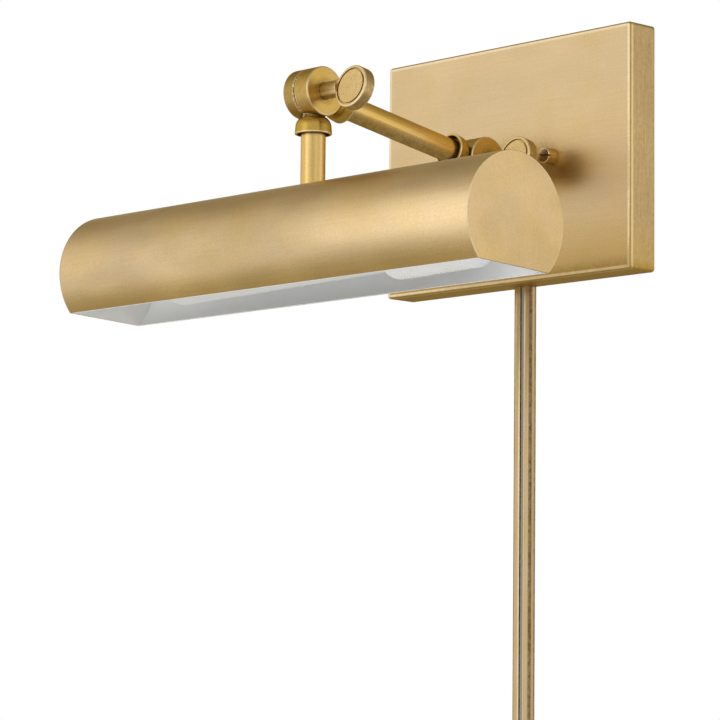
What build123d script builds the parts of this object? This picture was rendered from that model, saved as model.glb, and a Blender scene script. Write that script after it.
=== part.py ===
from build123d import *
import math
import os

# A brass accent lamp for the wall: a rectangular pan on the wall carries a jointed arm,
# and a long round shade hangs from the arm on a short stem.
# Lengths are in millimetres. The origin is at the middle of the back plate, on the wall.
# +X is to the right of someone facing the lamp, +Y goes into the wall, +Z is up.

# Back plate, a shallow pan that is open towards the wall
plate_width = 181.0
plate_height = 130.0
plate_depth = 18.5
plate_wall = 1.5
plate_corner_radius = 2.0
plate_edge_radius = 1.4

# Mounting bar behind the pan, with slots for the screws of a wall box
bar_end = 8.0
bar_rim = 3.0
bar_thickness = 2.5
bar_corner_radius = 3.0
bar_wire_hole_radius = 9.0
box_screw_spacing = 88.9
box_slot_length = 11.0
box_slot_width = 4.6

# Studs and slotted cap nuts that hold the pan to the bar
stud_spacing = 69.85
stud_radius = 2.0
stud_tip_gap = 0.6
cap_nut_radius = 4.1
cap_nut_length = 7.0
cap_nut_edge = 0.5
cap_nut_slot_width = 0.9
cap_nut_slot_depth = 1.3
cap_nut_roof = 1.4
cap_nut_slot_turn = 7.0

# Earth screw in the bar
earth_screw_place_x = 20.0
earth_screw_place_z = 5.5
earth_screw_radius = 2.0
earth_head_radius = 4.2
earth_head_height = 2.4
earth_slot_width = 1.0
earth_slot_depth = 1.1

# Knuckles: two half drums that a thumbscrew clamps together
pivot_stand_off = 21.5
pivot_drop = 1.6
arm_length = 120.0
arm_angle = 9.9
drum_radius = 12.7
drum_right_face = 8.8
drum_left_face = -9.6
drum_seam = -1.5
drum_edge_radius = 0.7
drum_seam_chamfer = 0.35
neck_step = 1.1
thread_reach = 9.0
thread_wall = 2.3
wire_bore_start = 6.0
friction_washer_inset = 0.3
friction_washer_thickness = 0.6
friction_washer_teeth = 40
friction_washer_tooth_depth = 0.7

# Thumbscrews
shank_radius = 2.5
shank_tip_gap = 1.2
shaft_step = 1.9
shaft_seat_gap = 0.15
shaft_seat_depth = 1.5
coin_place = 30.5
coin_radius = 11.1
coin_thickness = 6.5
coin_tilt = 11.0
coin_edge_radius = 0.6
coin_root = 1.0
coin_drop = 1.4
coin_ring_radius = 9.7
coin_ring_width = 1.0
coin_ring_depth = 0.6

# Collars, turned cups between a knuckle and its tube
collar_stand_off = 0.4
collar_length = 8.4
collar_root_wall = 2.1
collar_shoulder = 4.2
collar_flare = 0.4
collar_lip = 1.3
collar_edge = 0.4
collar_recess_gap = 1.95
collar_recess_depth = 4.0
collar_floor = 3.0

# Tubes
tube_radius = 6.35
tube_wall = 1.35

# Threaded end behind the pan, and the nuts on the hollow threads
wall_thread_reach = 10.0
lock_washer_rim = 4.1
lock_washer_thickness = 1.2
hex_nut_wall = 2.1
hex_nut_height = 4.0
hex_nut_sides = 6

# Shade, a round tube with a flat open underside
shade_length = 304.8
shade_radius = 32.75
shade_wall = 1.0
shade_opening_drop = 22.35
shade_opening_turn = 3.0
shade_drop = 82.0
shade_forward = 9.5
end_cap_thickness = 1.2
end_cap_edge = 0.5

# What hangs inside the shade
nipple_grip = 9.0
nipple_end_reach = 1.2
saddle_rim = 3.6
saddle_least = 1.2
cradle_end = 11.0
cradle_width = 18.0
cradle_thickness = 1.5
cradle_tail = 10.5
lamp_axis_drop = 2.2
lamp_axis_back = 5.0
lamp_droop = 1.15
socket_place = 119.2
socket_wall = 4.9
socket_base = 24.0
socket_edge_radius = 1.2
socket_screw_spacing = 13.0
socket_screw_radius = 1.6
socket_screw_head_radius = 3.0
socket_screw_head_height = 1.8
socket_screw_grip = 6.0
socket_screw_tip_gap = 0.8
lamp_length = 201.5
lamp_base_radius = 12.2
lamp_base_length = 27.5
lamp_base_show = 1.2
lamp_base_wall = 0.5
lamp_contact_radius = 4.5
lamp_contact_height = 2.0
lamp_radius = 12.4
lamp_neck_length = 1.5
lamp_glass_wall = 0.8
lamp_stub_length = 6.0

# Cord outlet and the cord cover below the pan
cover_length = 304.8
cover_width = 12.1
cover_side_depth = 4.2
cover_crown = 0.8
cover_wall = 1.0
cover_front_wall = 1.1
cover_groove_width = 2.4
cover_groove_depth = 0.5
strip_thickness = 0.6
tape_thickness = 0.4
outlet_wall = 1.4
outlet_flange = 1.4
outlet_flange_thickness = 1.2
cord_slot_width = 5.2
cord_slot_depth = 2.5

# Clearances
thread_fit = 0.06
bolt_fit = 0.25
slip_fit = 0.10
face_fit = 0.05
knuckle_gap = 0.5
lamp_fit = 0.30
overrun = 1.0

# Turns
quarter_turn = 90.0

# The share of a radius at half of a quarter circle
diagonal_share = math.sqrt(1 / 2)

# How full the collars' shoulders are at half of their run
shoulder_share = 0.62

# Places worked out from the sizes above
plate_front = -plate_depth
pan_floor = plate_front + plate_wall
bar_length = box_screw_spacing + box_slot_length + 2 * bar_end
bar_height = 2 * (bar_wire_hole_radius + bar_rim)
tube_bore = tube_radius - tube_wall
thread_radius = tube_bore - slip_fit
neck_radius = thread_radius + neck_step
wire_bore_radius = thread_radius - thread_wall
collar_base = drum_radius + collar_stand_off
collar_root_radius = thread_radius + collar_root_wall
collar_recess_radius = tube_radius + collar_recess_gap
collar_mouth_radius = collar_recess_radius + collar_lip
collar_radius = collar_mouth_radius - collar_flare
tube_start = collar_base + collar_floor
arm_rise = math.sin(math.radians(arm_angle))
arm_run = math.cos(math.radians(arm_angle))
arm_direction = Vector(0, -arm_run, arm_rise)
lower_pivot = Vector(0, plate_front - pivot_stand_off, -pivot_drop)
upper_pivot = lower_pivot + arm_direction * arm_length
shade_axis = Vector(0, upper_pivot.Y - shade_forward, upper_pivot.Z - shade_drop)
shade_inner_radius = shade_radius - shade_wall
seam_gap = friction_washer_thickness + 2 * face_fit
seam_right = drum_seam + seam_gap / 2
seam_left = drum_seam - seam_gap / 2
shaft_radius = shank_radius + shaft_step
shaft_seat_radius = shaft_radius + shaft_seat_gap
shaft_seat = drum_right_face - shaft_seat_depth
shaft_start = shaft_seat + face_fit
shank_tip = drum_left_face + shank_tip_gap
saddle_radius = thread_radius + saddle_rim
socket_bore = lamp_base_radius + lamp_fit
socket_radius = socket_bore + socket_wall
lamp_shoulder = socket_base + lamp_contact_height + lamp_base_length
lamp_tip = socket_base + lamp_length
socket_length = lamp_shoulder - lamp_base_show
cord_back = -tape_thickness - strip_thickness
outlet_width = cord_slot_width + 2 * outlet_wall
outlet_depth = cord_slot_depth + outlet_wall - cord_back
cover_lip_depth = cover_side_depth + cover_crown / 2
cover_back = -cover_lip_depth + cover_front_wall
strip_half_width = cover_width / 2 - cover_wall - slip_fit


def frame_at(origin, direction):
    """The place of a piece that runs from origin along direction, with X kept as it is."""
    return Plane(origin=origin, x_dir=(1, 0, 0), z_dir=direction).location


wall_side = frame_at(lower_pivot, Vector(0, 1, 0))
arm_foot = frame_at(lower_pivot, arm_direction)
arm_head = frame_at(upper_pivot, arm_direction * -1)
stem_side = frame_at(upper_pivot, Vector(0, 0, -1))
shade_place = Pos(shade_axis.X, shade_axis.Y, shade_axis.Z)
cover_top = Pos(0, 0, -plate_height / 2)


def along_x(radius, start, end):
    """A round bar on the X axis."""
    bar = Rot(0, quarter_turn, 0) * Cylinder(radius, abs(end - start))
    return Pos((start + end) / 2, 0, 0) * bar


def along_y(radius, start, end):
    """A round bar on the Y axis."""
    bar = Rot(quarter_turn, 0, 0) * Cylinder(radius, abs(end - start))
    return Pos(0, (start + end) / 2, 0) * bar


def along_z(radius, start, end):
    """A round bar on the Z axis."""
    return Pos(0, 0, (start + end) / 2) * Cylinder(radius, abs(end - start))


def block(x_range, y_range, z_range):
    """A box between two corners, given as three ranges."""
    ranges = (x_range, y_range, z_range)
    sizes = [high - low for low, high in ranges]
    middles = [(low + high) / 2 for low, high in ranges]
    return Pos(*middles) * Box(*sizes)


def round_end(piece, axis, last, radius):
    """Rounds the outer edge of a piece's first or last face along an axis."""
    face = piece.faces().sort_by(axis)[-1 if last else 0]
    return fillet(face.outer_wire().edges(), radius)


def backplate_pan():
    shell = block(
        (-plate_width / 2, plate_width / 2),
        (plate_front, 0),
        (-plate_height / 2, plate_height / 2),
    )
    shell = fillet(shell.edges().filter_by(Axis.Y), plate_corner_radius)
    shell = round_end(shell, Axis.Y, False, plate_edge_radius)
    inner_width = plate_width / 2 - plate_wall
    inner_height = plate_height / 2 - plate_wall
    shell -= block((-inner_width, inner_width), (pan_floor, overrun), (-inner_height, inner_height))
    stem_hole = along_y(thread_radius + bolt_fit, plate_front - overrun, pan_floor + overrun)
    shell -= Pos(0, 0, -pivot_drop) * stem_hole
    for side in (-1, 1):
        hole = along_y(stud_radius + bolt_fit, plate_front - overrun, pan_floor + overrun)
        shell -= Pos(side * stud_spacing / 2, 0, 0) * hole
    shell -= block(
        (-outlet_width / 2, outlet_width / 2),
        (-outlet_depth, overrun),
        (-plate_height / 2 - overrun, -inner_height + overrun),
    )
    return shell


def mounting_bar():
    bar = block((-bar_length / 2, bar_length / 2), (-bar_thickness, 0), (-bar_height / 2, bar_height / 2))
    bar = fillet(bar.edges().filter_by(Axis.Y), bar_corner_radius)
    bar -= along_y(bar_wire_hole_radius, -bar_thickness - overrun, overrun)
    slot = extrude(SlotOverall(box_slot_length, box_slot_width), bar_thickness + overrun, both=True)
    for side in (-1, 1):
        bar -= Pos(side * box_screw_spacing / 2, 0, 0) * Rot(quarter_turn, 0, 0) * slot
        stud_hole = along_y(stud_radius + thread_fit, -bar_thickness - overrun, overrun)
        bar -= Pos(side * stud_spacing / 2, 0, 0) * stud_hole
    earth_hole = along_y(earth_screw_radius + thread_fit, -bar_thickness - overrun, overrun)
    bar -= Pos(earth_screw_place_x, 0, earth_screw_place_z) * earth_hole
    return bar


def mounting_studs():
    reach = cap_nut_length - cap_nut_roof - stud_tip_gap
    stud = along_y(stud_radius, plate_front - reach, 0)
    return [Pos(side * stud_spacing / 2, 0, 0) * stud for side in (-1, 1)]


def cap_nuts():
    nut_face = plate_front - cap_nut_length
    nut = along_y(cap_nut_radius, nut_face, plate_front)
    nut = round_end(nut, Axis.Y, False, cap_nut_edge)
    nut -= along_y(stud_radius + thread_fit, nut_face + cap_nut_roof, plate_front + overrun)
    nut -= block(
        (-cap_nut_radius - overrun, cap_nut_radius + overrun),
        (nut_face - overrun, nut_face + cap_nut_slot_depth),
        (-cap_nut_slot_width / 2, cap_nut_slot_width / 2),
    )
    nut = Rot(0, cap_nut_slot_turn, 0) * nut
    return [Pos(side * stud_spacing / 2, 0, 0) * nut for side in (-1, 1)]


def earth_screw():
    head_face = -bar_thickness - earth_head_height
    screw = along_y(earth_screw_radius, -bar_thickness, 0)
    screw += along_y(earth_head_radius, head_face, -bar_thickness)
    screw -= block(
        (-earth_head_radius - overrun, earth_head_radius + overrun),
        (head_face - overrun, head_face + earth_slot_depth),
        (-earth_slot_width / 2, earth_slot_width / 2),
    )
    return Pos(earth_screw_place_x, 0, earth_screw_place_z) * screw


def knuckle_half(right, thread_end):
    """Half a drum across X, with a neck and a hollow thread along +Z up to thread_end."""
    seam = seam_right if right else seam_left
    face = drum_right_face if right else drum_left_face
    far_face = drum_left_face - overrun if right else drum_right_face + overrun
    half = along_x(drum_radius, seam, face)
    half = round_end(half, Axis.X, right, drum_edge_radius)
    seam_face = half.faces().sort_by(Axis.X)[0 if right else -1]
    half = chamfer(seam_face.outer_wire().edges(), drum_seam_chamfer)
    neck = along_z(neck_radius, 0, collar_base)
    neck -= along_x(drum_radius + knuckle_gap, seam, far_face)
    half += neck
    half += along_z(thread_radius, collar_base, thread_end)
    half -= along_z(wire_bore_radius, wire_bore_start, thread_end + overrun)
    if right:
        half -= along_x(shank_radius + slip_fit, seam - overrun, face + overrun)
        half -= along_x(shaft_seat_radius, shaft_seat, face + overrun)
    else:
        half -= along_x(shank_radius + thread_fit, shank_tip - shank_tip_gap / 2, seam + overrun)
    return half


def friction_washer():
    """A toothed washer between the two half drums."""
    outer = drum_radius - friction_washer_inset
    inner = outer - friction_washer_tooth_depth
    step = 2 * math.pi / friction_washer_teeth
    corners = []
    for tooth in range(friction_washer_teeth):
        for radius, angle in ((outer, tooth * step), (inner, (tooth + 1 / 2) * step)):
            corners.append((radius * math.cos(angle), radius * math.sin(angle)))
    outline = Polygon(*corners, align=None)
    washer = extrude(outline - Circle(shank_radius + slip_fit), friction_washer_thickness)
    return Pos(seam_left + face_fit, 0, 0) * Rot(0, quarter_turn, 0) * washer


def thumbscrew():
    """A plain round paddle, a little below its shaft along X and turned about X by the coin's tilt."""
    coin = Rot(quarter_turn, 0, 0) * Cylinder(coin_radius, coin_thickness)
    coin = fillet(coin.edges(), coin_edge_radius)
    ring_section = Circle(coin_ring_radius) - Circle(coin_ring_radius - coin_ring_width)
    ring = Rot(quarter_turn, 0, 0) * extrude(ring_section, coin_ring_depth, both=True)
    for side in (-1, 1):
        coin -= Pos(0, side * coin_thickness / 2, 0) * ring
    coin = Pos(coin_place, 0, -coin_drop) * Rot(-coin_tilt, 0, 0) * coin
    screw = along_x(shaft_radius, shaft_start, coin_place - coin_radius + coin_root) + coin
    return screw + along_x(shank_radius, shank_tip, shaft_start)


def collar(length, seats_tube):
    """A cup from the collar's base along +Z, with its open mouth away from the knuckle."""
    end = collar_base + length
    bore = thread_radius + slip_fit
    swell = collar_radius - collar_root_radius
    shoulder_end = collar_base + collar_shoulder
    shoulder = ThreePointArc(
        (collar_root_radius, 0, collar_base),
        (collar_root_radius + swell * shoulder_share, 0, shoulder_end - collar_shoulder * shoulder_share),
        (collar_radius, 0, shoulder_end),
    )
    sides = Polyline(
        (collar_radius, 0, shoulder_end),
        (collar_mouth_radius, 0, end),
        (bore, 0, end),
        (bore, 0, collar_base),
        (collar_root_radius, 0, collar_base),
    )
    cup = round_end(revolve(make_face(shoulder + sides), Axis.Z), Axis.Z, True, collar_edge)
    if seats_tube:
        cup -= along_z(tube_radius + slip_fit, tube_start, end + overrun)
        cup -= along_z(collar_recess_radius, end - collar_recess_depth, end + overrun)
    return cup


def tube(start, end):
    return along_z(tube_radius, start, end) - along_z(tube_bore, start - overrun, end + overrun)


def wall_thread_end():
    """Where the thread behind the pan stops, measured from the lower pivot."""
    return pivot_stand_off + plate_wall + wall_thread_reach


def lock_washer():
    radius = thread_radius + lock_washer_rim
    ring = along_y(radius, pan_floor, pan_floor + lock_washer_thickness)
    ring -= along_y(thread_radius + slip_fit, pan_floor - overrun, pan_floor + wall_thread_reach)
    return Pos(0, 0, -pivot_drop) * ring


def hex_nut():
    """A hexagon nut with its bore on the Z axis, from zero upwards."""
    hexagon = RegularPolygon(thread_radius + hex_nut_wall, hex_nut_sides, major_radius=False)
    prism = extrude(hexagon, hex_nut_height)
    return prism - along_z(thread_radius + thread_fit, -overrun, hex_nut_height + overrun)


def lock_nut():
    place = Pos(0, pan_floor + lock_washer_thickness, -pivot_drop)
    return place * Rot(-quarter_turn, 0, 0) * hex_nut()


def stem_tube():
    """The stem, with its foot cut to sit on the round of the shade."""
    long_tube = stem_side * tube(tube_start, shade_drop)
    return long_tube - shade_place * along_x(shade_radius, -shade_length / 2, shade_length / 2)


def underside_cut():
    """What is taken off below the flat opening of the shade, in the shade's own place.
    The opening faces down and a little to the front."""
    half = shade_length / 2 + overrun
    width = shade_radius + overrun
    below = block((-half, half), (-width, width), (-width, -shade_opening_drop))
    return Rot(-shade_opening_turn, 0, 0) * below


def shade_barrel():
    end = shade_length / 2 - end_cap_thickness
    barrel = along_x(shade_radius, -end, end) - along_x(shade_inner_radius, -end - overrun, end + overrun)
    barrel -= underside_cut()
    barrel -= Pos(0, shade_forward, 0) * along_z(thread_radius + slip_fit, 0, shade_radius + overrun)
    return shade_place * barrel


def end_cap(side):
    outside = side * shade_length / 2
    disc = along_x(shade_radius, outside - side * end_cap_thickness, outside)
    disc = round_end(disc, Axis.X, side > 0, end_cap_edge) - underside_cut()
    return shade_place * disc


def saddle_underside():
    """Height of the saddle's flat side above the shade's axis."""
    widest = shade_forward + saddle_radius
    return math.sqrt(shade_inner_radius ** 2 - widest ** 2) - saddle_least


def saddle_washer():
    base = saddle_underside()
    post = Pos(0, shade_forward, 0) * along_z(saddle_radius, base, shade_radius)
    post -= Pos(0, shade_forward, 0) * along_z(thread_radius + slip_fit, 0, shade_radius + overrun)
    inside = along_x(shade_inner_radius, -shade_length / 2, shade_length / 2)
    return shade_place * (post & inside)


def shade_nipple():
    """A hollow thread from inside the stem down through the saddle, the cradle and the nut."""
    low = saddle_underside() - cradle_thickness - hex_nut_height - nipple_end_reach
    high = math.sqrt(shade_radius ** 2 - shade_forward ** 2) + nipple_grip
    rod = along_z(thread_radius, low, high)
    rod -= along_z(wire_bore_radius, low - overrun, high + overrun)
    return shade_place * Pos(0, shade_forward, 0) * rod


def nipple_nut():
    base = saddle_underside() - cradle_thickness - hex_nut_height
    return shade_place * Pos(0, shade_forward, base) * hex_nut()


def lamp_line():
    """The place of the socket and its lamp: +Z runs along the lamp, to the left and a little down."""
    lean = math.radians(lamp_droop)
    origin = shade_axis + Vector(socket_place, lamp_axis_back, -lamp_axis_drop)
    along = (-math.cos(lean), 0, -math.sin(lean))
    upwards = (-math.sin(lean), 0, math.cos(lean))
    return Plane(origin=origin, x_dir=upwards, z_dir=along).location


def screw_places():
    return [Pos(side * socket_screw_spacing / 2, 0, 0) for side in (-1, 1)]


def lamp_cradle():
    """A bent strip: it runs under the saddle to the right and turns down behind the socket."""
    lean = math.radians(lamp_droop)
    top = saddle_underside()
    under = top - cradle_thickness
    foot = -lamp_axis_drop
    inner = socket_place - (under - foot) * math.tan(lean)
    outer = socket_place + cradle_thickness / math.cos(lean) - (top - foot) * math.tan(lean)
    tail_x = socket_place + cradle_tail * math.sin(lean)
    tail_z = foot - cradle_tail * math.cos(lean)
    shift_x = cradle_thickness * math.cos(lean)
    shift_z = cradle_thickness * math.sin(lean)
    section = Polyline(
        (-cradle_end, 0, top),
        (outer, 0, top),
        (tail_x + shift_x, 0, tail_z + shift_z),
        (tail_x, 0, tail_z),
        (inner, 0, under),
        (-cradle_end, 0, under),
        (-cradle_end, 0, top),
    )
    strip = extrude(make_face(section), cradle_width, dir=(0, 1, 0))
    strip = Pos(0, shade_forward - cradle_width / 2, 0) * strip
    strip -= Pos(0, shade_forward, 0) * along_z(thread_radius + slip_fit, 0, shade_radius)
    strip = shade_place * strip
    for place in screw_places():
        hole = along_z(socket_screw_radius + slip_fit, -cradle_thickness - overrun, overrun)
        strip -= lamp_line() * place * hole
    return strip


def lamp_socket():
    body = along_z(socket_radius, 0, socket_length)
    body = fillet(body.edges().group_by(Axis.Z)[-1], socket_edge_radius)
    body -= along_z(socket_bore, socket_base, socket_length + overrun)
    hole_depth = socket_screw_grip + socket_screw_tip_gap
    for place in screw_places():
        body -= place * along_z(socket_screw_radius + thread_fit, -overrun, hole_depth)
    return lamp_line() * body


def socket_screws():
    head_face = -cradle_thickness - socket_screw_head_height
    screw = along_z(socket_screw_radius, head_face, socket_screw_grip)
    screw += along_z(socket_screw_head_radius, head_face, -cradle_thickness)
    return [lamp_line() * place * screw for place in screw_places()]


def lamp_base():
    """The metal screw cap of a lamp, with its centre contact on the floor of the socket."""
    low = socket_base + lamp_contact_height
    cap = along_z(lamp_base_radius, low, lamp_shoulder)
    cap += along_z(lamp_contact_radius, socket_base, low)
    bore = lamp_base_radius - lamp_base_wall
    cap -= along_z(bore, lamp_shoulder - lamp_stub_length, lamp_shoulder + overrun)
    return lamp_line() * cap


def lamp_outline(inset):
    """Half section of the glass, drawn in by inset: a stub, a neck, a straight side, a round tip."""
    stub = lamp_shoulder - lamp_stub_length
    tip = lamp_tip - inset
    stub_radius = lamp_base_radius - lamp_base_wall - slip_fit - inset
    side_radius = lamp_radius - inset
    neck_end = lamp_shoulder + lamp_neck_length
    tip_start = lamp_tip - lamp_radius
    sides = Polyline(
        (0, 0, tip),
        (0, 0, stub),
        (stub_radius, 0, stub),
        (stub_radius, 0, lamp_shoulder),
        (side_radius, 0, neck_end),
        (side_radius, 0, tip_start),
    )
    cap = ThreePointArc(
        (side_radius, 0, tip_start),
        (side_radius * diagonal_share, 0, tip_start + side_radius * diagonal_share),
        (0, 0, tip),
    )
    return make_face(sides + cap)


def lamp_glass():
    glass = revolve(lamp_outline(0), Axis.Z) - revolve(lamp_outline(lamp_glass_wall), Axis.Z)
    return lamp_line() * glass


def cord_outlet():
    """A bushing in the notch of the pan's lower wall, with a flange inside the pan."""
    outside = -plate_height / 2
    inside = outside + plate_wall
    half = outlet_width / 2 - slip_fit
    flange_half = outlet_width / 2 + outlet_flange
    body = block((-half, half), (-outlet_depth + slip_fit, 0), (outside, inside))
    body += block(
        (-flange_half, flange_half),
        (-outlet_depth - outlet_flange, 0),
        (inside, inside + outlet_flange_thickness),
    )
    cord_middle = cord_back - cord_slot_depth / 2
    slot = extrude(SlotOverall(cord_slot_width, cord_slot_depth), plate_height / 2, both=True)
    return body - Pos(0, cord_middle, outside) * slot


def cord_cover():
    """The face of the cord cover: two rounded ribs beside a groove, on a pair of rails."""
    half = cover_width / 2
    groove = cover_groove_width / 2
    lip = cover_lip_depth
    rib = (half + groove) / 2
    crest = cover_side_depth + cover_crown
    left_rib = ThreePointArc((-half, -cover_side_depth), (-rib, -crest), (-groove, -lip))
    right_rib = ThreePointArc((groove, -lip), (rib, -crest), (half, -cover_side_depth))
    floor = -lip + cover_groove_depth
    middle = Polyline((-groove, -lip), (-groove, floor), (groove, floor), (groove, -lip))
    back = Polyline(
        (half, -cover_side_depth),
        (half, cover_back),
        (-half, cover_back),
        (-half, -cover_side_depth),
    )
    return cover_top * extrude(make_face(left_rib + middle + right_rib + back), -cover_length)


def cover_rails():
    """The two sides of the cord cover, from the wall to the back of its face."""
    rail = block((0, cover_wall), (cover_back, 0), (-cover_length, 0))
    return [cover_top * Pos(x, 0, 0) * rail for x in (-cover_width / 2, cover_width / 2 - cover_wall)]


def cover_strip():
    """The flat strip between the rails, which the tape holds to the wall."""
    half = strip_half_width
    return cover_top * block((-half, half), (cord_back, -tape_thickness), (-cover_length, 0))


def cover_tape():
    half = strip_half_width
    return cover_top * block((-half, half), (-tape_thickness, 0), (-cover_length, 0))


def nodes():
    """Every node's name with its solids."""
    pieces = {
        "backplate_pan": backplate_pan(),
        "mounting_bar": mounting_bar(),
        "mounting_studs": mounting_studs(),
        "cap_nuts": cap_nuts(),
        "earth_screw": earth_screw(),
        "wall_knuckle": wall_side * knuckle_half(True, wall_thread_end()),
        "wall_collar": wall_side * collar(pivot_stand_off - collar_base, False),
        "lock_washer": lock_washer(),
        "lock_nut": lock_nut(),
        "cord_outlet": cord_outlet(),
        "cord_cover": cord_cover(),
        "cover_rails": cover_rails(),
        "cover_strip": cover_strip(),
        "cover_tape": cover_tape(),
        "lower_friction_washer": Pos(*lower_pivot) * friction_washer(),
        "lower_thumbscrew": Pos(*lower_pivot) * thumbscrew(),
        "arm_lower_knuckle": arm_foot * knuckle_half(False, tube_start + thread_reach),
        "arm_lower_collar": arm_foot * collar(collar_length, True),
        "arm_tube": arm_foot * tube(tube_start, arm_length - tube_start),
        "arm_upper_collar": arm_head * collar(collar_length, True),
        "arm_upper_knuckle": arm_head * knuckle_half(False, tube_start + thread_reach),
        "upper_friction_washer": Pos(*upper_pivot) * friction_washer(),
        "upper_thumbscrew": Pos(*upper_pivot) * thumbscrew(),
        "stem_knuckle": stem_side * knuckle_half(True, tube_start + thread_reach),
        "stem_collar": stem_side * collar(collar_length, True),
        "stem_tube": stem_tube(),
        "shade_nipple": shade_nipple(),
        "shade_barrel": shade_barrel(),
        "end_cap_left": end_cap(-1),
        "end_cap_right": end_cap(1),
        "saddle_washer": saddle_washer(),
        "lamp_cradle": lamp_cradle(),
        "nipple_nut": nipple_nut(),
        "socket_screws": socket_screws(),
        "lamp_socket": lamp_socket(),
        "lamp_base": lamp_base(),
        "lamp_glass": lamp_glass(),
    }
    return pieces


os.makedirs("parts", exist_ok=True)
for node_name, piece in nodes().items():
    solids = piece if isinstance(piece, list) else [piece]
    bodies = [solid for shape in solids for solid in shape.solids()]
    export_step(bodies[0] if len(bodies) == 1 else Compound(children=bodies), f"parts/{node_name}.step")
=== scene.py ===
import functools
import math

import bpy
from mathutils import Matrix, Vector


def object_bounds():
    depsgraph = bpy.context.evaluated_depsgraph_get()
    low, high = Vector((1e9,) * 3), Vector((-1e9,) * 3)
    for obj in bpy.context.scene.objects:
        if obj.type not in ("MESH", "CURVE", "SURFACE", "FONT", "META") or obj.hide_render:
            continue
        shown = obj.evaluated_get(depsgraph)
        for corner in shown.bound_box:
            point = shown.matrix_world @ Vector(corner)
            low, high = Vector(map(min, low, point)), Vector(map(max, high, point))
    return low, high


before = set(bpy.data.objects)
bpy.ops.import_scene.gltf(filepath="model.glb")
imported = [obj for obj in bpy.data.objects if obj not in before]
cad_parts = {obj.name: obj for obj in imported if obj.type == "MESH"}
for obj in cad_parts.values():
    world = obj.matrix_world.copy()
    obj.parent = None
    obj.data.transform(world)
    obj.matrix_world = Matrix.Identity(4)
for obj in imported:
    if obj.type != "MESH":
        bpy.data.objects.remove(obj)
cad_low, cad_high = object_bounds()
scene = bpy.context.scene
scene.view_settings.view_transform = "Standard"

along = Vector((1.0, 0.0, 0.0))
inward = Vector((0.0, 1.0, 0.0))
up = Vector((0.0, 0.0, 1.0))
flat = (1.0, 1.0, 0.0)

# Places of the part, in metres, as the solids have them
lower_pivot = Vector((0.0, -0.040, -0.0016))
arm_angle = math.radians(9.9)
arm_length = 0.120
arm_direction = Vector((0.0, -math.cos(arm_angle), math.sin(arm_angle)))
arm_upward = Vector((0.0, math.sin(arm_angle), math.cos(arm_angle)))
upper_pivot = lower_pivot + arm_length * arm_direction
shade_axis = upper_pivot + Vector((0.0, -0.0095, -0.082))
shade_half_length = 0.1524
shade_radius = 0.03275
shade_wall = 0.001
end_cap_thickness = 0.0012
plate_half_width = 0.0905
plate_half_height = 0.065
plate_depth = 0.0185
plate_round = 0.0015
drum_radius = 0.0127
drum_faces = (-0.0096, 0.0088)
drum_seam = -0.0015
collar_mouth = 0.0215
collar_mouth_radius = 0.0096
nut_place = 0.034925
nut_radius = 0.0041
nut_face = -0.0255
coin_radius = 0.0111
coin_half = 0.00325
coin_centre = Vector((0.0305, 0.0, -0.0014))
coin_tilt = math.radians(11.0)
coin_normal = Vector((0.0, math.cos(coin_tilt), -math.sin(coin_tilt)))
coin_ring_inside = 0.0087
cover_half_width = 0.00605
cover_side = 0.0042
groove_half_width = 0.0012

# Widths of the edges that show wear and carry painted highlights
cap_edge = 0.0007
nut_edge = 0.0007
drum_edge = 0.0010
seam_edge = 0.0015
coin_edge = 0.0009
collar_edge = 0.0009

# Painted highlights, dark line and side shade on the plate's rounded edge, in radii from the middle of the
# rounding
front_line = -1.0
middle_line = -0.1
side_line = 0.9
line_half_width = 0.7
side_tone_fade = (-0.5, 1.0)
side_shade_fade = (0.9, 1.8)

# Where deeper tones, patina and painted shade start and end, in metres, and how strong they are
side_tone = 0.25
side_shade = (0.14, 0.38)
lower_tone = (0.004, 0.045, 0.5)
border_tone = (0.001, 0.011, 0.9)
border_shade = (0.0005, 0.010, 0.40)
underside_shade = (0.0001, 0.0006, 0.5)
nut_tone = (0.012, 0.044, 0.7)
nut_tone_top = (-0.012, 0.010)
nut_tone_squeeze = 1.5
drum_neck_shade = (drum_radius - 0.0002, drum_radius + 0.0003)
drum_face_shade = (0.0046, 0.0085, 0.4)
drum_wall_start = (drum_radius - 0.0012, drum_radius - 0.0004)
drum_grit = (0.12, 0.42)
drum_edge_wear_and_highlight = 0.6
coin_side_start = (coin_radius - 0.0006, coin_radius - 0.0001)
coin_side_shade = 0.55
coin_back_start = (coin_half - 0.0008, coin_half - 0.0003)
coin_back_shade = 0.62
stipple_height = 2.0
stipple_range = (0.7, 1.6)
stipple_patina = 0.25
arm_shade_range = (-0.0062, -0.0015, 0.62)
barrel_shade_range = (shade_axis.z - 0.022, shade_axis.z - 0.004, 0.6)
paint_in_barrel = shade_radius - 0.4 * shade_wall
paint_in_caps = shade_half_length - 0.9 * end_cap_thickness
cover_front = (-0.8 * cover_side, -0.6 * cover_side)
cover_edge = (0.78 * cover_half_width, 0.93 * cover_half_width)
cover_edge_shade = 0.85
cover_wall = (-0.4 * cover_side, -0.15 * cover_side)
cover_wall_shadow = 0.65
groove_wall = (0.9 * groove_half_width, 0.35 * groove_half_width, 0.9)
groove_lip = (1.5 * groove_half_width, 0.45 * groove_half_width, 0.8)
groove_floor = (0.55 * groove_half_width, 0.75 * groove_half_width)

# The camera, as measured from the photograph
image_size = 720
sensor_width = 36.0
azimuth = math.radians(46.67)
elevation = math.radians(-6.50)
roll = math.radians(0.61)
focal_pixels = 3317.09
origin_pixel = (528.77, 168.79)
distance = 1.79389
clip_near = 0.05
clip_far = 50.0


def colour(red, green, blue):
    return (red, green, blue, 1.0)


def studio_tone(level):
    """The studio's colour at a brightness: white where it is bright, warmer where it is dim."""
    return colour(level, level ** 1.13, level ** 1.5)


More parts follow.
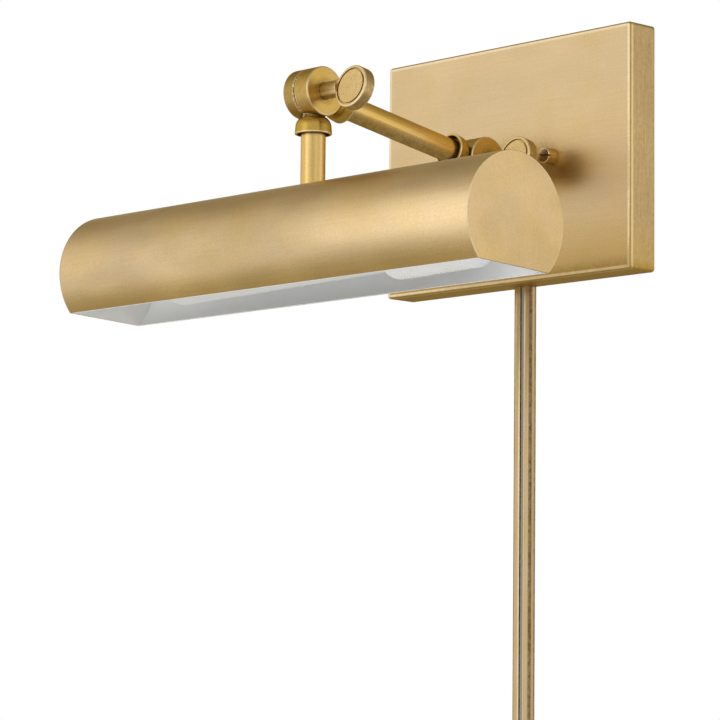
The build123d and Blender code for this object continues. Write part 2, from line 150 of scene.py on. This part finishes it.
full_white = colour(1.0, 1.0, 1.0)
brass_light = colour(0.72, 0.54, 0.31)
brass_deep = colour(0.67, 0.435, 0.088)
# Lighter brass of edges with wear and of painted highlights
brass_worn_and_highlight = colour(0.93, 0.77, 0.50)
brass_grazing = colour(0.75, 0.62, 0.40)
shade_grazing = colour(0.93, 0.89, 0.80)
# Brown of the patina in hollows, also used for painted shade
patina_and_shade = colour(0.10, 0.062, 0.022)
paint_white = colour(0.87, 0.87, 0.865)
groove_grey = colour(0.27, 0.27, 0.25)
floor_tones = (colour(0.62, 0.575, 0.49), colour(0.64, 0.595, 0.51))

# The finish of the brass: scales of noise per metre, shares, and the range of a noise that is used
noise_range = (0.3, 0.7)
coarse_marks = 900.0
fine_marks = 3200.0
coarse_share = 0.6
share_along_marks = 0.035
share_round_marks = 0.06
streak_range = (0.32, 0.68)
streak_dark = 0.08
streak_bright = 0.06
gloss_range = (0.25, 0.75)
gloss_swing = 0.06
cloud_scale = 28.0
cloud_range = (0.30, 0.72)
tone_swing = 0.15
speckle_scale = 1400.0
speckle_levels = (0.935, 1.05)
patch_scale = 32.0
patch_stretch = (0.45, 1.0, 1.0)
mottle_scale = 420.0
mottle_levels = (0.6, 1.0)
rub_scale = 300.0
rub_levels = (0.7, 1.0)
chip_scale = 900.0
chip_range = (0.42, 0.58)
grit_scale = 1150.0
grit_range = (0.42, 0.66)
stipple_scale = 1500.0
side_marks = 2400.0
side_marks_range = (0.36, 0.64)
share_along_side_marks = 0.02
hollow_samples = 8
hollow_range = (0.25, 0.85)
beside_share = 0.8
patina_dullness = 0.2
worn_gloss = 0.10
paint_rough = 0.55
brass_bump = 0.10
bump_depth = 0.0001

# Brightness of the studio that metal mirrors, from straight below (0) to straight above (1)
front_levels = [
    (0.0, 0.25), (0.30, 0.54), (0.42, 0.90), (0.54, 0.98),
    (0.66, 0.96), (0.78, 0.79), (0.87, 0.50), (1.0, 0.38),
]
left_levels = [
    (0.0, 0.25), (0.36, 0.30), (0.46, 0.44), (0.53, 0.80),
    (0.58, 0.80), (0.66, 0.50), (0.78, 0.36), (1.0, 0.38),
]
right_levels = [
    (0.0, 0.30), (0.34, 0.42), (0.44, 0.64), (0.52, 0.82),
    (0.62, 0.82), (0.72, 0.52), (0.82, 0.36), (1.0, 0.38),
]
left_to_right = (-0.3, 0.4)
front_to_behind = (-0.3, 0.3)
dim_corner = (0.72, -0.68, -0.11)
dim_range = (0.86, 0.99)
dim_level = 0.62
soft_level = 0.72
cool_white = (0.915, 0.957, 1.0)
floor_reach = 6.0
floor_drop = 0.81
floor_rough = 0.8
floor_cloud_scale = 60.0
floor_mirrored_fade = (0.9, 4.6)
floor_shown_fade = (1.6, 5.6)
floor_shown_least = 0.45
floor_front_to_behind = (-0.6, 0.6)
floor_left_to_right = (-0.4, 0.4)


def make_camera():
    back = Vector((
        math.sin(azimuth) * math.cos(elevation),
        -math.cos(azimuth) * math.cos(elevation),
        math.sin(elevation),
    ))
    level = Vector((math.cos(azimuth), math.sin(azimuth), 0.0))
    lift = back.cross(level)
    across = math.cos(roll) * level + math.sin(roll) * lift
    upright = math.cos(roll) * lift - math.sin(roll) * level
    metres = distance / focal_pixels
    to_right = (origin_pixel[0] - image_size / 2) * metres
    to_bottom = (origin_pixel[1] - image_size / 2) * metres
    place = distance * back - to_right * across + to_bottom * upright
    data = bpy.data.cameras.new("camera")
    data.sensor_width = sensor_width
    data.lens = focal_pixels * sensor_width / image_size
    data.clip_start = clip_near
    data.clip_end = clip_far
    camera = bpy.data.objects.new("camera", data)
    turn = Matrix((across, upright, back)).transposed().to_4x4()
    camera.matrix_world = Matrix.Translation(place) @ turn
    scene.collection.objects.link(camera)
    scene.camera = camera


class Nodes:
    """A node tree with short calls for the nodes that the materials use."""

    def __init__(self, tree, output):
        self.tree = tree
        tree.nodes.clear()
        self.surface = self.add(output).inputs["Surface"]

    def add(self, kind, values=None, **settings):
        made = self.tree.nodes.new(kind)
        for name, value in settings.items():
            setattr(made, name, value)
        for name, value in (values or {}).items():
            self.put(made.inputs[name], value)
        return made

    def put(self, socket, value):
        if isinstance(value, bpy.types.NodeSocket):
            self.tree.links.new(value, socket)
        else:
            socket.default_value = value

    def math(self, operation, first, second=0.0, clamp=False):
        made = self.add("ShaderNodeMath", {0: first, 1: second}, operation=operation, use_clamp=clamp)
        return made.outputs[0]

    def times(self, first, second):
        return self.math("MULTIPLY", first, second)

    def most(self, *values):
        """The largest of some values."""
        return functools.reduce(functools.partial(self.math, "MAXIMUM"), values)

    def absolute(self, value):
        return self.math("ABSOLUTE", value)

    def vector(self, operation, first, second=(0.0, 0.0, 0.0)):
        made = self.add("ShaderNodeVectorMath", {0: first, 1: second}, operation=operation)
        return made.outputs["Value" if operation in ("LENGTH", "DOT_PRODUCT") else "Vector"]

    def length(self, vector, keep=None):
        """How long a vector is, or the share of it that keep leaves."""
        return self.vector("LENGTH", self.vector("MULTIPLY", vector, keep) if keep else vector)

    def split(self, vector):
        return self.add("ShaderNodeSeparateXYZ", {"Vector": vector}).outputs

    def join(self, **parts):
        return self.add("ShaderNodeCombineXYZ", parts).outputs["Vector"]

    def dimmed(self, shown, level):
        """A colour times a number."""
        return self.vector("MULTIPLY", shown, self.join(X=level, Y=level, Z=level))

    def spread(self, value, low, high, to_low=0.0, to_high=1.0):
        """value from low to high, eased, as a number from to_low to to_high."""
        values = {"Value": value, "From Min": low, "From Max": high, "To Min": to_low, "To Max": to_high}
        return self.add("ShaderNodeMapRange", values, interpolation_type="SMOOTHSTEP").outputs["Result"]

    def mix(self, share, first, second):
        made = self.add("ShaderNodeMix", {"Factor": share, 6: first, 7: second}, data_type="RGBA")
        return made.outputs[2]

    def noise(self, place, scale, detail=3.0, rough=0.6):
        values = {"Vector": place, "Scale": scale, "Detail": detail, "Roughness": rough}
        return self.add("ShaderNodeTexNoise", values).outputs["Fac"]

    def ramp(self, value, stops):
        """Tones of the studio at the stops, eased from one to the next."""
        made = self.add("ShaderNodeValToRGB", {"Fac": value})
        made.color_ramp.interpolation = "EASE"
        while len(made.color_ramp.elements) < len(stops):
            made.color_ramp.elements.new(0.5)
        for element, (place, level) in zip(made.color_ramp.elements, stops):
            element.position = place
            element.color = studio_tone(level)
        return made.outputs["Color"]

    def mirrored(self, path):
        """1 for what metal and glass show."""
        return self.most(path["Is Glossy Ray"], path["Is Transmission Ray"])


def start_material(name):
    material = bpy.data.materials.new(name)
    material.use_nodes = True
    nodes = Nodes(material.node_tree, "ShaderNodeOutputMaterial")
    shader = nodes.add("ShaderNodeBsdfPrincipled")
    nodes.put(nodes.surface, shader.outputs["BSDF"])
    here = nodes.add("ShaderNodeTexCoord").outputs["Object"]
    return material, nodes, shader, here


def local_frame(nodes, here, place, direction):
    """A point as seen from place, with Z along direction."""
    made = nodes.add("ShaderNodeMapping", {"Vector": here}, vector_type="TEXTURE")
    made.inputs["Location"].default_value = place
    made.inputs["Rotation"].default_value = direction.to_track_quat("Z", "Y").to_euler()
    return made.outputs["Vector"]


def brushed_grain(nodes, here, place, direction, turned):
    """Fine marks of the finish: along direction, or round it where the piece was turned."""
    local = local_frame(nodes, here, place, direction)
    if turned:
        rings = nodes.join(X=nodes.length(local, flat), Y=nodes.split(local)["Z"])
        swirl = nodes.vector("MULTIPLY", local, (share_round_marks, share_round_marks, 0.0))
        lines = nodes.vector("ADD", rings, swirl)
    else:
        lines = nodes.vector("MULTIPLY", local, (1.0, 1.0, share_along_marks))
    coarse = nodes.times(nodes.noise(lines, coarse_marks), coarse_share)
    fine = nodes.times(nodes.noise(lines, fine_marks, 2.0), 1.0 - coarse_share)
    return nodes.math("ADD", coarse, fine)


def hollow(nodes, reach, alone=True):
    """1 deep in a recess of the piece, alone or with the pieces beside it, 0 on open surfaces."""
    settings = {"samples": hollow_samples, "only_local": alone}
    made = nodes.add("ShaderNodeAmbientOcclusion", {"Distance": reach}, **settings)
    return nodes.spread(made.outputs["AO"], *hollow_range, 1.0, 0.0)


def brass(name, place=(0.0, 0.0, 0.0), direction=along, turned=False, depth=0.0, lift=1.0, clouded=0.0,
          grain_share=1.0, gloss=0.36, grazing=brass_grazing, recess=0.003, beside=0.0, deep=None, dark=None,
          white=None, paint=paint_white, rim=None, relief=None):
    """Brushed brass with a thin brown patina that stays in the recesses, painted shade near other pieces, and
    lighter edges that show wear and carry painted highlights.

    The marks of the finish lie along direction, or round it through place where the piece is turned.
    depth and lift set the tone, clouded how uneven it is, and grazing is its colour at grazing angles.
    recess is how near the piece itself has to be to keep the patina, and beside how near other pieces have to
    be to paint shade there, darker and in a deeper tone.
    deep, dark, white, rim and relief are functions of the nodes and the place: where painted shade gives the
    brass a deeper tone, where painted shade and patina cover it beyond the recesses, where paint does, where
    the edges show wear and painted highlights, and how high a stipple stands.
    """
    material, nodes, shader, here = start_material(name)
    grain = brushed_grain(nodes, here, place, direction, turned)
    clouds = nodes.noise(here, cloud_scale)
    tone = nodes.spread(clouds, *cloud_range, depth - tone_swing, depth + tone_swing)
    patina_and_shade_share = hollow(nodes, recess)
    # Painted shade: where another piece stands near, the metal is darkened and its tone deepened.
    if beside:
        near = hollow(nodes, beside, alone=False)
        tone = nodes.most(tone, near)
        patina_and_shade_share = nodes.most(patina_and_shade_share, nodes.times(near, beside_share))
    if deep:
        tone = nodes.most(tone, deep(nodes, here))
    if dark:
        patina_and_shade_share = nodes.most(patina_and_shade_share, dark(nodes, here))
    darkest = 1.0 - streak_dark * grain_share
    brightest = 1.0 + streak_bright * grain_share
    streak = nodes.spread(grain, *streak_range, darkest, brightest)
    speckle = nodes.spread(nodes.noise(here, speckle_scale, 2.0), *noise_range, *speckle_levels)
    patches = nodes.noise(nodes.vector("MULTIPLY", here, patch_stretch), patch_scale, 2.0, 0.5)
    patches = nodes.spread(patches, *noise_range, lift * (1.0 - clouded), lift * (1.0 + clouded))
    base = nodes.mix(tone, brass_light, brass_deep)
    base = nodes.dimmed(base, nodes.times(nodes.times(streak, speckle), patches))
    mottle = nodes.spread(nodes.noise(here, mottle_scale), *noise_range, *mottle_levels)
    patina_and_shade_share = nodes.math("MULTIPLY", patina_and_shade_share, mottle, clamp=True)
    base = nodes.mix(patina_and_shade_share, base, patina_and_shade)
    dull = nodes.times(patina_and_shade_share, patina_dullness)
    swing = gloss_swing * grain_share
    rough = nodes.spread(grain, *gloss_range, gloss - swing, gloss + swing)
    rough = nodes.math("ADD", rough, dull)
    metal = nodes.math("SUBTRACT", 1.0, dull)
    # The rims show wear and carry painted highlights.
    if rim:
        rub = nodes.spread(nodes.noise(here, rub_scale), *noise_range, *rub_levels)
        worn_and_highlight = nodes.times(rim(nodes, here), rub)
        base = nodes.mix(worn_and_highlight, base, brass_worn_and_highlight)
        rough = nodes.math("SUBTRACT", rough, nodes.times(worn_and_highlight, worn_gloss))
    if white:
        painted = white(nodes, here)
        base = nodes.mix(painted, base, paint)
        metal = nodes.times(metal, nodes.math("SUBTRACT", 1.0, painted))
        rough = nodes.most(rough, nodes.times(painted, paint_rough))
    height = nodes.times(grain, grain_share)
    if relief:
        height = nodes.math("ADD", height, relief(nodes, here))
    bump = nodes.add("ShaderNodeBump", {"Height": height, "Strength": brass_bump, "Distance": bump_depth})
    shader.inputs["Specular Tint"].default_value = grazing
    nodes.put(shader.inputs["Base Color"], base)
    nodes.put(shader.inputs["Metallic"], metal)
    nodes.put(shader.inputs["Roughness"], rough)
    nodes.put(shader.inputs["Normal"], bump.outputs["Normal"])
    return material


def plain(name, base, rough, metal=0.0, grain_scale=1500.0, grain_tone=0.06, bump=0.15, sheen=None):
    """A plain surface with fine grain: castings, plastic, plate and glaze.

    sheen is the weight and the roughness of its sheen.
    """
    wide_scale = 0.03 * grain_scale
    rough_swing = 0.15
    material, nodes, shader, here = start_material(name)
    grain = nodes.noise(here, grain_scale)
    wide = nodes.noise(here, wide_scale, 2.0, 0.5)
    both = nodes.math("ADD", nodes.times(grain, 0.5), nodes.times(wide, 0.5))
    light = colour(*[min(1.0, level * (1.0 + grain_tone)) for level in base])
    deep = colour(*[level * (1.0 - grain_tone) for level in base])
    nodes.put(shader.inputs["Base Color"], nodes.mix(nodes.spread(both, *noise_range), deep, light))
    rough = nodes.spread(both, *noise_range, rough * (1.0 - rough_swing), rough * (1.0 + rough_swing))
    nodes.put(shader.inputs["Roughness"], rough)
    shader.inputs["Metallic"].default_value = metal
    made = nodes.add("ShaderNodeBump", {"Height": grain, "Strength": bump, "Distance": bump_depth})
    nodes.put(shader.inputs["Normal"], made.outputs["Normal"])
    if sheen:
        shader.inputs["Sheen Weight"].default_value, shader.inputs["Sheen Roughness"].default_value = sheen
    return material


def off_axis(nodes, here, place, direction):
    """How far a point lies from the line through place along direction."""
    return nodes.length(local_frame(nodes, here, place, direction), flat)


def off_middle(nodes, here):
    """How far a point lies from the middle of the part, to the left or right."""
    return nodes.absolute(nodes.split(here)["X"])


def band(nodes, value, middle, half, level):
    """A soft line: level where value is near middle, 0 beyond half on each side."""
    gap = nodes.absolute(nodes.math("SUBTRACT", value, middle))
    return nodes.spread(gap, 0.3 * half, half, level, 0.0)


def rims(place, direction, radius, ends, width):
    """The round edges of a turned piece, at its ends along direction."""
    def mask(nodes, here):
        height = nodes.split(local_frame(nodes, here, place, direction))["Z"]
        out = nodes.spread(off_axis(nodes, here, place, direction), radius - width, radius - 0.5 * width)
        gaps = [nodes.absolute(nodes.math("SUBTRACT", height, end)) for end in ends]
        near = nodes.most(*[nodes.spread(gap, 0.5 * width, width, 1.0, 0.0) for gap in gaps])
        return nodes.times(out, near)
    return mask


def nut_rims(nodes, here):
    edges = [rims(side * nut_place * along, inward, nut_radius, (nut_face,), nut_edge) for side in (-1, 1)]
    return nodes.most(*[edge(nodes, here) for edge in edges])


def over_edge(nodes, here):
    """A coordinate that runs from the plate's face over its rounded edge to the sides: 0 halfway."""
    apart = nodes.split(here)
    wide = nodes.math("SUBTRACT", nodes.absolute(apart["X"]), plate_half_width)
    tall = nodes.math("SUBTRACT", nodes.absolute(apart["Z"]), plate_half_height)
    back = nodes.math("ADD", apart["Y"], plate_depth)
    return nodes.math("DIVIDE", nodes.math("ADD", nodes.most(wide, tall), back), plate_round)


def edge_line(nodes, over, level):
    """A painted dark line of reflection along the middle of the plate's rounded edge."""
    return band(nodes, over, middle_line, line_half_width, level)


def above_bottom(nodes, here, low, high, level):
    """level at low above the plate's lower edge and below that, 0 from high on."""
    height = nodes.split(here)["Z"]
    return nodes.spread(height, low - plate_half_height, high - plate_half_height, level, 0.0)


def painted_nut_shadow(nodes, here):
    """Painted shadow just below the nuts and the hinge."""
    height = nodes.split(here)["Z"]
    past = nodes.most(nodes.math("SUBTRACT", off_middle(nodes, here), nut_place), 0.0)
    away = nodes.length(nodes.join(X=past, Z=nodes.times(height, nut_tone_squeeze)))
    near = nodes.spread(away, *nut_tone, 0.0)
    return nodes.times(near, nodes.spread(height, *nut_tone_top, 1.0, 0.0))


def plate_edge_highlights(nodes, here):
    """Two painted highlights along the rounded front edges of the plate."""
    over = over_edge(nodes, here)
    front = band(nodes, over, front_line, line_half_width, 1.0)
    return nodes.most(front, band(nodes, over, side_line, line_half_width, 0.5))


def plate_shade_tone(nodes, here):
    """Painted shade in a deeper tone on the plate: on its sides and lower part, along its lower border, on
    the dark line of its rounded edge, and just below the nuts and the hinge."""
    over = over_edge(nodes, here)
    sides = nodes.spread(over, *side_tone_fade, 0.0, side_tone)
    lower = above_bottom(nodes, here, *lower_tone)
    border = above_bottom(nodes, here, *border_tone)
    return nodes.most(sides, edge_line(nodes, over, 1.0), lower, painted_nut_shadow(nodes, here), border)


def plate_painted_shade(nodes, here):
    """Painted shade on the plate: streaked on its sides, under it, along its lower border and on its edge
    line.
    """
    over = over_edge(nodes, here)
    side = nodes.spread(over, *side_shade_fade)
    lines = nodes.vector("MULTIPLY", here, (1.0, 1.0, share_along_side_marks))
    lines = nodes.noise(lines, side_marks, rough=0.65)
    brushed = nodes.times(side, nodes.spread(lines, *side_marks_range, *side_shade))
    below = nodes.times(above_bottom(nodes, here, *underside_shade), side)
    border = above_bottom(nodes, here, *border_shade)
    return nodes.most(brushed, below, border, edge_line(nodes, over, 0.3))


def drum_rims(pivot):
    """Painted highlights with wear on the edges of a drum and, in a broken line, on the seam between its
    halves.
    """
    def mask(nodes, here):
        ends = rims(pivot, along, drum_radius, drum_faces, drum_edge)(nodes, here)
        seam = rims(pivot, along, drum_radius, (drum_seam,), seam_edge)(nodes, here)
        chips = nodes.spread(nodes.noise(here, chip_scale, 2.0), *chip_range)
        return nodes.most(nodes.times(ends, drum_edge_wear_and_highlight), nodes.times(seam, chips))
    return mask


def drum_shade_and_grit(pivot):
    """Painted shade on the neck below a drum and round the screw on its face, and patina in fine grit on its
    wall.
    """
    def mask(nodes, here):
        away = off_axis(nodes, here, pivot, along)
        neck = nodes.spread(away, *drum_neck_shade)
        face = nodes.spread(away, *drum_face_shade, 0.0)
        wall = nodes.spread(away, *drum_wall_start, *drum_grit)
        grit = nodes.spread(nodes.noise(here, grit_scale, 2.0), *grit_range)
        return nodes.most(neck, face, nodes.times(grit, wall))
    return mask


def coin_face(pivot):
    """A fine stipple on the two faces of a coin, inside their rings."""
    def stipple(nodes, here):
        local = local_frame(nodes, here, pivot + coin_centre, coin_normal)
        inner = nodes.math("LESS_THAN", nodes.length(local, flat), coin_ring_inside)
        dots = nodes.add("ShaderNodeTexVoronoi", {"Vector": local, "Scale": stipple_scale})
        return nodes.times(inner, nodes.times(dots.outputs["Distance"], stipple_height))
    return stipple


def coin_shade_and_patina(pivot):
    """Patina in the hollows of a coin's stipple, and painted shade round its side and on its back."""
    def mask(nodes, here):
        local = local_frame(nodes, here, pivot + coin_centre, coin_normal)
        side = nodes.spread(nodes.length(local, flat), *coin_side_start, 0.0, coin_side_shade)
        back = nodes.spread(nodes.split(local)["Z"], *coin_back_start, 0.0, coin_back_shade)
        dots = nodes.spread(coin_face(pivot)(nodes, here), *stipple_range, 0.0, stipple_patina)
        return nodes.most(side, back, dots)
    return mask


def arm_underside_shade(nodes, here):
    """Painted shade below the arm's tube."""
    height = nodes.vector("DOT_PRODUCT", nodes.vector("SUBTRACT", here, lower_pivot), arm_upward)
    return nodes.spread(height, *arm_shade_range, 0.0)


def barrel_shade_tone(nodes, here):
    """Painted shade: a deeper tone towards the barrel's lower edges."""
    return nodes.spread(nodes.split(here)["Z"], *barrel_shade_range, 0.0)


def inside_barrel(nodes, here):
    out = nodes.length(nodes.vector("SUBTRACT", here, shade_axis), (0.0, 1.0, 1.0))
    return nodes.math("LESS_THAN", out, paint_in_barrel)


def inside_caps(nodes, here):
    inner = nodes.math("LESS_THAN", off_middle(nodes, here), paint_in_caps)
    return nodes.times(inner, inside_barrel(nodes, here))


def cover_shade_and_patina(nodes, here):
    """Painted shade on the cord cover: along its outer edges, by the wall and on the walls of its groove."""
    depth = nodes.split(here)["Y"]
    across = off_middle(nodes, here)
    front = nodes.spread(depth, *cover_front, 1.0, 0.0)
    edge = nodes.spread(across, *cover_edge, 0.0, cover_edge_shade)
    wall = nodes.spread(depth, *cover_wall, 0.0, cover_wall_shadow)
    return nodes.most(wall, band(nodes, across, *groove_wall), nodes.times(edge, front))


# Painted highlights on the lips of the cover's groove.
def cover_lip_highlights(nodes, here):
    return band(nodes, off_middle(nodes, here), *groove_lip)


def cover_groove(nodes, here):
    return nodes.spread(off_middle(nodes, here), *groove_floor, 1.0, 0.0)


def dress(material, *names):
    for name in names:
        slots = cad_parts[name].data.materials
        slots.clear()
        slots.append(material)


def dress_hinge(name, pivot, halves):
    """The drum of a hinge, whose first half is darkened as painted shade, and its thumbscrew."""
    for half, lift in zip(halves, (0.86, 1.04)):
        dress(brass(half + "_brass", pivot, along, turned=True, depth=0.78, lift=lift, grain_share=0.9,
                    gloss=0.30, beside=0.004, dark=drum_shade_and_grit(pivot), rim=drum_rims(pivot)), half)
    coin_rims = rims(pivot + coin_centre, coin_normal, coin_radius, (-coin_half, coin_half), coin_edge)
    dress(brass(name + "_thumbscrew_brass", pivot, along, turned=True, depth=0.42, lift=1.19, grain_share=0.5,
                gloss=0.30, recess=0.0015, beside=0.003, dark=coin_shade_and_patina(pivot), rim=coin_rims,
                relief=coin_face(pivot)), name + "_thumbscrew")


def dress_collar(name, pivot, direction):
    lip = rims(pivot, direction, collar_mouth_radius, (collar_mouth,), collar_edge)
    dress(brass(name + "_brass", pivot, direction, turned=True, depth=1.0, lift=0.82, grain_share=0.9,
                gloss=0.30, recess=0.005, beside=0.004, rim=lip), name)


def dress_brass():
    cap_rims = rims(shade_axis, along, shade_radius, (-shade_half_length, shade_half_length), cap_edge)
    dress(brass("plate_brass", direction=along, depth=0.05, lift=1.06, clouded=0.04, grain_share=0.42,
                beside=0.03, deep=plate_shade_tone, dark=plate_painted_shade, rim=plate_edge_highlights), "backplate_pan")
    dress(brass("barrel_brass", direction=along, depth=0.12, lift=0.96, clouded=0.105, grain_share=0.5,
                grazing=shade_grazing, deep=barrel_shade_tone, white=inside_barrel), "shade_barrel")
    dress(brass("cap_brass", direction=up, depth=0.2, lift=0.95, clouded=0.065, grain_share=0.38,
                white=inside_caps, rim=cap_rims), "end_cap_left", "end_cap_right")
    dress_hinge("lower", lower_pivot, ("arm_lower_knuckle", "wall_knuckle"))
    dress_hinge("upper", upper_pivot, ("arm_upper_knuckle", "stem_knuckle"))
    dress_collar("arm_lower_collar", lower_pivot, arm_direction)
    dress_collar("arm_upper_collar", upper_pivot, -arm_direction)
    dress_collar("stem_collar", upper_pivot, -up)
    dress_collar("wall_collar", lower_pivot, inward)
    dress(brass("arm_brass", lower_pivot, arm_direction, depth=0.68, lift=1.2, grain_share=0.9, gloss=0.30,
                beside=0.006, dark=arm_underside_shade), "arm_tube")
    dress(brass("stem_brass", upper_pivot, up, depth=0.55, lift=1.1, grain_share=0.9, gloss=0.28,
                beside=0.004), "stem_tube")
    dress(brass("nut_brass", direction=inward, depth=0.5, gloss=0.30, recess=0.002, rim=nut_rims), "cap_nuts")
    dress(brass("cover_brass", direction=up, depth=0.12, lift=0.88, dark=cover_shade_and_patina, rim=cover_lip_highlights,
                white=cover_groove, paint=groove_grey), "cord_cover", "cover_rails")


def dress_rest():
    dress(plain("washer_brass", (0.80, 0.62, 0.35), rough=0.25, metal=1.0),
          "lower_friction_washer", "upper_friction_washer")
    dress(plain("steel", (0.56, 0.56, 0.55), rough=0.38, metal=1.0),
          "mounting_bar", "mounting_studs", "lock_washer", "lock_nut",
          "shade_nipple", "saddle_washer", "nipple_nut", "socket_screws")
    dress(plain("cradle_white", (0.86, 0.86, 0.855), rough=0.5), "lamp_cradle")
    dress(plain("green", (0.06, 0.26, 0.09), rough=0.42, metal=0.6), "earth_screw")
    dress(plain("bushing_black", (0.02, 0.02, 0.02), rough=0.5), "cord_outlet")
    dress(plain("strip", (0.45, 0.42, 0.36), rough=0.6), "cover_strip")
    dress(plain("foam", (0.80, 0.80, 0.78), rough=0.9, grain_scale=900.0, bump=0.6), "cover_tape")
    dress(plain("porcelain", (0.74, 0.74, 0.738), rough=0.28, grain_tone=0.02, bump=0.05), "lamp_socket")
    dress(plain("lamp_cap", (0.72, 0.72, 0.70), rough=0.35, metal=1.0), "lamp_base")
    dress(plain("frosted", (0.62, 0.62, 0.618), rough=0.40, grain_tone=0.02, bump=0.05, sheen=(1.0, 0.25)),
          "lamp_glass")


def make_world():
    """Metal mirrors a studio that is brightest in front and at half height. The camera sees white."""
    world = bpy.data.worlds.new("studio")
    scene.world = world
    world.use_nodes = True
    world.cycles.sampling_method = "NONE"
    nodes = Nodes(world.node_tree, "ShaderNodeOutputWorld")
    way = nodes.add("ShaderNodeTexCoord").outputs["Generated"]
    apart = nodes.split(way)
    height = nodes.add("ShaderNodeMath", {0: apart["Z"], 1: 0.5, 2: 0.5}, operation="MULTIPLY_ADD").outputs[0]
    front, left, right = [nodes.ramp(height, levels) for levels in (front_levels, left_levels, right_levels)]
    behind = nodes.mix(nodes.spread(apart["X"], *left_to_right), left, right)
    room = nodes.mix(nodes.spread(apart["Y"], *front_to_behind), front, behind)
    corner = nodes.vector("DOT_PRODUCT", way, dim_corner)
    room = nodes.dimmed(room, nodes.spread(corner, *dim_range, 1.0, dim_level))
    path = nodes.add("ShaderNodeLightPath").outputs
    soft, shown, white = [
        nodes.add("ShaderNodeBackground", {"Color": tone, "Strength": strength}).outputs[0]
        for tone, strength in ((full_white, soft_level), (room, 1.0), (full_white, 1.0))
    ]
    lit = nodes.add("ShaderNodeMixShader", {0: nodes.mirrored(path), 1: soft, 2: shown}).outputs[0]
    seen = nodes.add("ShaderNodeMixShader", {0: path["Is Camera Ray"], 1: lit, 2: white}).outputs[0]
    nodes.put(nodes.surface, seen)


def area_light(name, place, target, size, power, mirrored=True, tint=(1.0, 1.0, 1.0)):
    data = bpy.data.lights.new(name, "AREA")
    data.shape = "RECTANGLE"
    data.size, data.size_y = size
    data.energy = power
    data.color = tint
    lamp = bpy.data.objects.new(name, data)
    lamp.location = place
    lamp.rotation_euler = (Vector(target) - Vector(place)).to_track_quat("-Z", "Y").to_euler()
    lamp.visible_camera = False
    lamp.visible_glossy = mirrored
    scene.collection.objects.link(lamp)


def make_lights():
    """Two soft lights on the brass, and three for the white inside of the shade that metal doesn't mirror."""
    area_light("key", (-0.045, -0.42, 0.01), (0.12, -0.19, -0.05), (0.165, 0.26), 0.068)
    area_light("side", (0.51, 0.17, 0.0), (0.15, -0.17, -0.06), (0.25, 0.35), 0.09)
    for name, place, target, size, power in (
        ("fill", (-0.05, -0.70, -0.50), shade_axis, (0.7, 0.4), 2.95),
        ("lift", (0.147, -0.168, -0.078), (0.12, -0.165, -0.078), (0.02, 0.012), 0.004),
        ("glow", (-0.05, 0.35, -0.50), shade_axis, (0.6, 0.3), 1.7),
    ):
        area_light(name, place, target, size, power, mirrored=False, tint=cool_white)


def make_floor():
    """A pale floor that fades to the white of the background, but not where metal mirrors it left behind."""
    level = cad_low.z - floor_drop
    corners = [(x * floor_reach, y * floor_reach, level) for x, y in ((-1, -1), (1, -1), (1, 1), (-1, 1))]
    mesh = bpy.data.meshes.new("floor")
    mesh.from_pydata(corners, [], [(0, 1, 2, 3)])
    floor = bpy.data.objects.new("floor", mesh)
    scene.collection.objects.link(floor)
    material, nodes, shader, here = start_material("floor")
    shader.inputs["Roughness"].default_value = floor_rough
    nodes.put(shader.inputs["Base Color"], nodes.mix(nodes.noise(here, floor_cloud_scale), *floor_tones))
    path = nodes.add("ShaderNodeLightPath").outputs
    apart = nodes.split(here)
    behind = nodes.spread(apart["Y"], *floor_front_to_behind)
    left = nodes.spread(apart["X"], *floor_left_to_right, 1.0, 0.0)
    kept = nodes.math("SUBTRACT", 1.0, nodes.times(behind, left))
    mirrored = nodes.times(nodes.mirrored(path), kept)
    away = nodes.length(here, flat)
    shown = nodes.times(path["Is Camera Ray"], nodes.spread(away, *floor_shown_fade, floor_shown_least, 1.0))
    fade = nodes.most(shown, nodes.times(mirrored, nodes.spread(away, *floor_mirrored_fade)))
    white = nodes.add("ShaderNodeEmission", {"Color": full_white, "Strength": 1.0}).outputs[0]
    both = nodes.add("ShaderNodeMixShader", {0: fade, 1: shader.outputs["BSDF"], 2: white}).outputs[0]
    nodes.put(nodes.surface, both)
    mesh.materials.append(material)


make_camera()
dress_brass()
dress_rest()
make_world()
make_lights()
make_floor()
